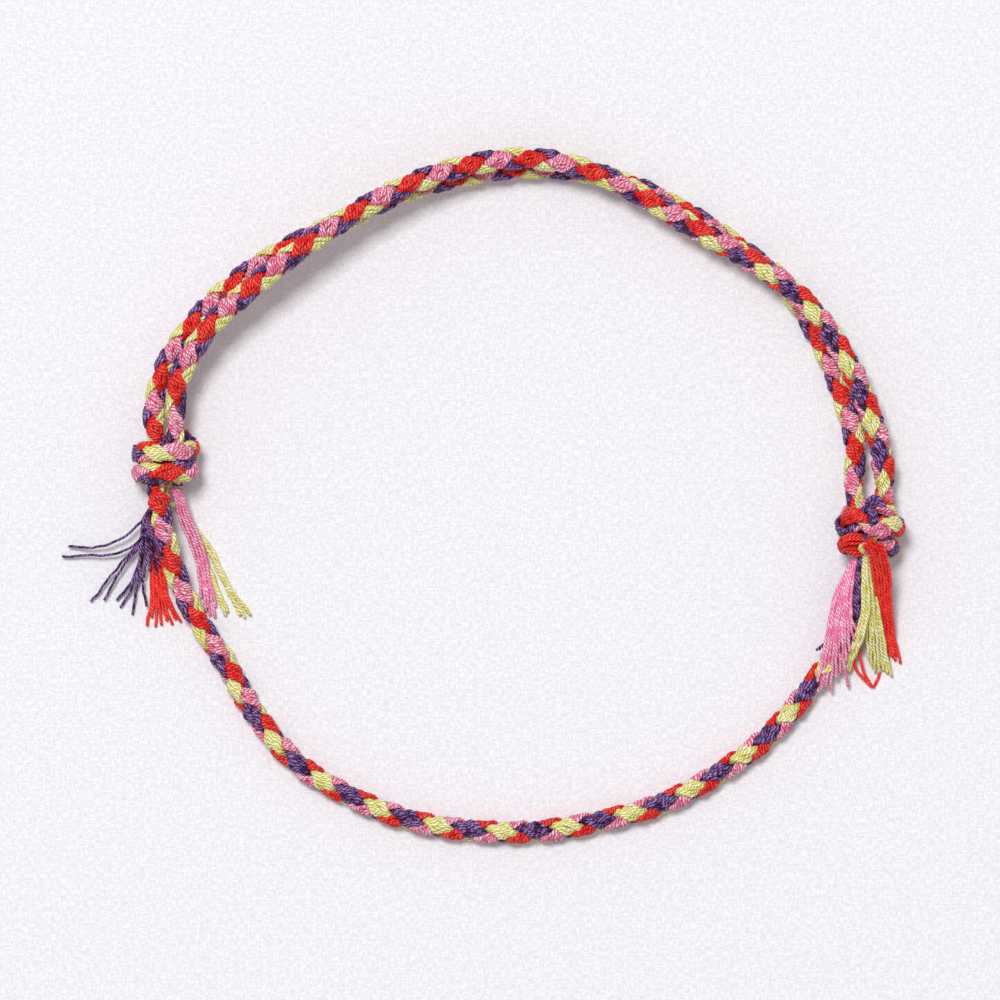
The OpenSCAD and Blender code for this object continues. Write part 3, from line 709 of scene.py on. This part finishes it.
TASSEL_RIGHT = {
    "pink": [
        dict(
            rows=[
                (-1.2, -1.9, 3.4, 0.1), (-1.75, -3.2, 3.0, 0.2), (-3.0, -6.0, 2.9, 0.28),
                (-3.6, -9.3, 2.8, 0.35),
            ],
            tips=[
                (-4.75, -13.7, 2.0), (-4.44, -14.24, 1.6), (-4.05, -14.0, 1.4), (-3.6, -14.51, 1.0),
            ],
        ),
        dict(
            rows=[
                (-1.1, -1.9, 3.5, 0.1), (-1.6, -3.2, 3.2, 0.15), (-2.6, -6.4, 3.1, 0.3),
                (-3.0, -10.2, 2.6, 0.4),
            ],
            tips=[(-3.5, -12.9, 1.7), (-3.1, -13.3, 1.4), (-2.7, -12.9, 1.2), (-2.05, -14.1, 0.8)],
        ),
        dict(
            rows=[
                (-1.0, -1.9, 3.6, 0.1), (-1.45, -3.2, 3.4, 0.18), (-2.1, -6.0, 3.4, 0.25),
                (-2.0, -8.4, 3.0, 0.35),
            ],
            tips=[(-2.3, -11.8, 2.1), (-1.95, -10.9, 2.3), (-1.56, -9.92, 2.5), (-1.25, -9.2, 2.6)],
        ),
    ],
    "purple": [
        dict(
            rows=[(-0.9, -2.1, 3.9, 0.1), (-1.05, -3.4, 3.7, 0.2), (-1.3, -5.6, 3.3, 0.42)],
            tips=[
                (-1.9, -8.2, 2.6), (-1.75, -7.6, 2.8), (-1.6, -8.3, 2.7), (-1.5, -8.1, 2.8),
                (-1.35, -8.6, 2.7), (-1.2, -8.2, 2.8), (-1.1, -7.7, 2.8), (-0.95, -8.0, 2.7),
            ],
        ),
        dict(
            rows=[
                (-1.0, -2.2, 3.6, 0.1), (-1.3, -4.6, 2.8, 0.1), (-1.9, -7.2, 2.1, 0.1),
                (-3.4, -9.4, 2.0, 0.1),
            ],
            tips=[
                (-4.89, -10.82, 2.2), (-4.7, -10.75, 2.1), (-4.3, -10.4, 2.1), (-3.9, -10.2, 2.0),
            ],
        ),
    ],
    "lime": [
        dict(
            rows=[
                (-0.65, -2.3, 4.1, 0.1), (-0.6, -4.0, 3.9, 0.2), (-0.6, -7.6, 3.2, 0.3),
                (-1.3, -10.2, 2.3, 0.3),
            ],
            tips=[
                (-2.5, -12.6, 1.0), (-2.28, -12.71, 0.9), (-1.92, -12.71, 0.8), (-1.5, -11.6, 1.0),
            ],
        ),
        dict(
            rows=[
                (-0.5, -2.4, 4.0, 0.1), (-0.3, -4.2, 3.7, 0.18), (-0.05, -8.0, 2.6, 0.35),
                (0.15, -10.6, 1.5, 0.45),
            ],
            tips=[(-0.2, -11.5, 1.0), (0.1, -12.2, 0.7), (0.4, -12.71, 0.5), (0.78, -12.8, 0.4)],
        ),
        dict(
            rows=[
                (-0.4, -2.5, 3.8, 0.1), (0.1, -5.2, 3.0, 0.2), (0.6, -8.3, 2.2, 0.25),
                (1.0, -10.6, 1.2, 0.28),
            ],
            tips=[(0.9, -12.2, 0.4), (1.15, -12.6, 0.4), (1.5, -12.9, 0.3), (1.86, -13.16, 0.3)],
        ),
    ],
    "red": [
        dict(
            rows=[
                (0.05, -1.5, 5.35, 0.55), (0.65, -2.9, 4.7, 0.7), (1.15, -6.4, 2.6, 0.6),
                (1.5, -9.2, 1.1, 0.55),
            ],
            tips=[
                (1.3, -11.4, 0.5), (1.59, -11.63, 0.4), (1.8, -11.3, 0.3), (2.04, -11.5, 0.3),
                (2.2, -11.3, 0.3), (2.45, -11.36, 0.3),
            ],
        ),
        dict(
            rows=[
                (0.1, -1.7, 5.15, 0.5), (0.75, -3.1, 4.35, 0.6), (1.2, -6.4, 2.3, 0.5),
                (1.6, -9.2, 0.8, 0.45),
            ],
            tips=[(1.5, -11.0, 0.3), (1.9, -11.2, 0.25), (2.3, -11.8, 0.25), (2.67, -12.03, 0.25)],
        ),
        dict(
            rows=[
                (0.0, -2.4, 3.8, 0), (-0.3, -6.0, 2.4, 0), (-0.9, -9.8, 1.5, 0),
                (-0.9, -11.8, 1.0, 0), (-0.1, -13.7, 0.4, 0), (0.24, -14.15, 0.3, 0),
                (0.5, -13.8, 0.25, 0),
            ],
            tips=[(0.95, -11.9, 0.3)],
        ),
        dict(
            rows=[
                (0.0, -2.4, 3.9, 0), (-0.3, -6.0, 2.5, 0), (-1.1, -9.8, 1.7, 0),
                (-1.35, -12.4, 0.8, 0),
            ],
            tips=[(0.05, -14.1, 0.35)],
        ),
    ],
}
# How thick a loose thread is beside those of the cord
SLIMNESS = {"red": 0.95, "pink": 0.95, "purple": 0.8, "lime": 0.95}
# Every second thread of a fan lies higher by this
FAN_LIFT = 0.12 * MM
# A loose thread first goes straight on from its strand. LEAD_TURN is the stretch, in turns, that
# gives its direction there, and LEAD the number of such stretches that it goes on for.
LEAD_TURN = 0.05
LEAD = 2
# Then it strays by this, in waves that are so many rings long, which grow by a power of the way
LOOSE_WANDER = 0.05 * MM
LOOSE_WAVE = 17
LOOSE_POWER = 0.5
# Its tone changes from the cord's to its painted lit tone over the first third of its length
LOOSE_SPEED = 3
# Points that are worked out for each stretch of a loose thread between two given ones
CURVE_STEPS = 20


def smooth_path(points, count):
    """Evenly spaced places along a smooth curve through some points."""
    points = np.array(points)
    steps = np.linalg.norm(np.diff(points, axis=0), axis=1)
    ways = headings(points)
    shares = np.linspace(0, 1, CURVE_STEPS, endpoint=False)[:, None]
    pieces = [
        curve(start, end, leave * step, arrive * step, shares)[0]
        for start, end, leave, arrive, step in zip(points, points[1:], ways, ways[1:], steps)
    ]
    fine = np.vstack(pieces + [points[-1:]])
    reach = np.concatenate([[0], np.cumsum(np.linalg.norm(np.diff(fine, axis=0), axis=1))])
    places = np.linspace(0, reach[-1], count)
    return np.column_stack([np.interp(places, reach, fine[:, k]) for k in range(3)])


def fan(knot, rows, tips):
    """The points of each thread of one fan, from the knot's side to its tip."""
    rows = np.array(rows)
    base = np.array([knot[0] - BOX_MIDDLE[0], knot[1] - BOX_MIDDLE[1], 0])
    middles = (rows[:, :3] + base) * MM
    ways = headings(np.vstack([middles, (np.mean(tips, axis=0) + base) * MM]))[:-1]
    side = unit(np.cross(ways, (0, 0, -1)))
    shares = np.linspace(-1, 1, len(tips)) if len(tips) > 1 else [0]
    threads = []
    for i, (share, tip) in enumerate(zip(shares, tips)):
        lift = np.array([0, 0, FAN_LIFT * (i % 2)])
        places = middles + side * (rows[:, 3:] * MM * share) + lift
        threads.append([*places, (np.array(tip) + base) * MM])
    return threads


def loose_threads(colour, threads, turn, way, rng):
    """Paths of threads that go on from a strand at a turn: back for a way of -1, on for 1."""
    turns = np.array([turn, turn - LEAD_TURN * way])
    ends = [thread_in_strand(colour, k, turns, rng) for k in range(THREADS)]
    # Both are put in order from left to right, so that the threads fork without crossing
    ends.sort(key=lambda end: end[0][0])
    threads.sort(key=lambda thread: thread[0][0])
    paths = []
    for i, thread in enumerate(threads):
        # The strand's twelve threads are shared out evenly among the loose ones
        end, before = ends[i * THREADS // len(threads)]
        lead = end + (end - before) * LEAD
        paths.append(smooth_path([end, lead, *thread], LOOSE_RINGS))
    paths = np.array(paths)
    rings = np.arange(LOOSE_RINGS)
    stray = np.array([[waves(rings, rng, LOOSE_WAVE) for _ in range(3)] for _ in paths])
    grown = LOOSE_WANDER * np.linspace(0, 1, LOOSE_RINGS) ** LOOSE_POWER
    paths += stray.transpose(0, 2, 1) * grown[None, :, None]
    # No thread goes through the floor
    paths[:, :, 2] = np.maximum(paths[:, :, 2], THREAD_R)
    return paths


def make_tassel(name, knot, fans, turn, way):
    """One piece for each colour of a tassel, whose threads go on from its strand at a turn."""
    # The painted lit tone grows over the first third of each loose thread
    loose_lit_tone = np.minimum(1, LOOSE_SPEED * np.linspace(0, 1, LOOSE_RINGS))
    for colour, parts in fans.items():
        rng = np.random.default_rng(len(name) + len(colour))
        threads = [thread for part in parts for thread in fan(knot, **part)]
        paths = loose_threads(colour, threads, turn, way, rng)
        piece = tubes(f"threads_{name}_{colour}", paths, THREAD_R * SLIMNESS[colour], loose_lit_tone)
        place_piece(piece, f"tassel_{name}_{colour}", colour)


make_tassel("left", KNOT_LEFT, TASSEL_LEFT, FIRST_TURN, -1)
make_tassel("right", KNOT_RIGHT, TASSEL_RIGHT, LAST_TURN, 1)

# Floor
FLOOR_SIDE = 0.6
bpy.ops.mesh.primitive_plane_add(size=FLOOR_SIDE)
floor = bpy.context.object
floor.name = "floor"
floor.data.materials.append(floor_material())

# Light: a white world, and one soft lamp above that looks at the origin
WORLD_STRENGTH = 0.45
LAMP_PLACE = (-0.34, 0.62, 1.84)
LAMP_SIDE = 0.5
LAMP_POWER = 26
world = bpy.data.worlds.new("studio")
world.use_nodes = True
background = world.node_tree.nodes["Background"]
background.inputs["Color"].default_value = (1, 1, 1, 1)
background.inputs["Strength"].default_value = WORLD_STRENGTH
bpy.context.scene.world = world
light = bpy.data.lights.new("key", "AREA")
light.size = LAMP_SIDE
light.energy = LAMP_POWER
lamp = bpy.data.objects.new("key", light)
lamp.location = LAMP_PLACE
lamp.rotation_euler = (-Vector(LAMP_PLACE)).to_track_quat("-Z", "Y").to_euler()
bpy.context.scene.collection.objects.link(lamp)

# Camera, straight above the middle of the view, whose picture shows a square of the floor
VIEW_MIDDLE = (1.475 * MM, -0.465 * MM)
VIEW_SIDE = 90 * MM
CAMERA_HEIGHT = 1.0
SENSOR_SIDE = 36
NEAREST = 0.01
camera = bpy.data.cameras.new("camera")
camera.sensor_width = SENSOR_SIDE
camera.lens = SENSOR_SIDE * CAMERA_HEIGHT / VIEW_SIDE
camera.clip_start = NEAREST
camera_object = bpy.data.objects.new("camera", camera)
camera_object.location = (*VIEW_MIDDLE, CAMERA_HEIGHT)
bpy.context.scene.collection.objects.link(camera_object)
bpy.context.scene.camera = camera_object
bpy.context.scene.view_settings.view_transform = "Standard"
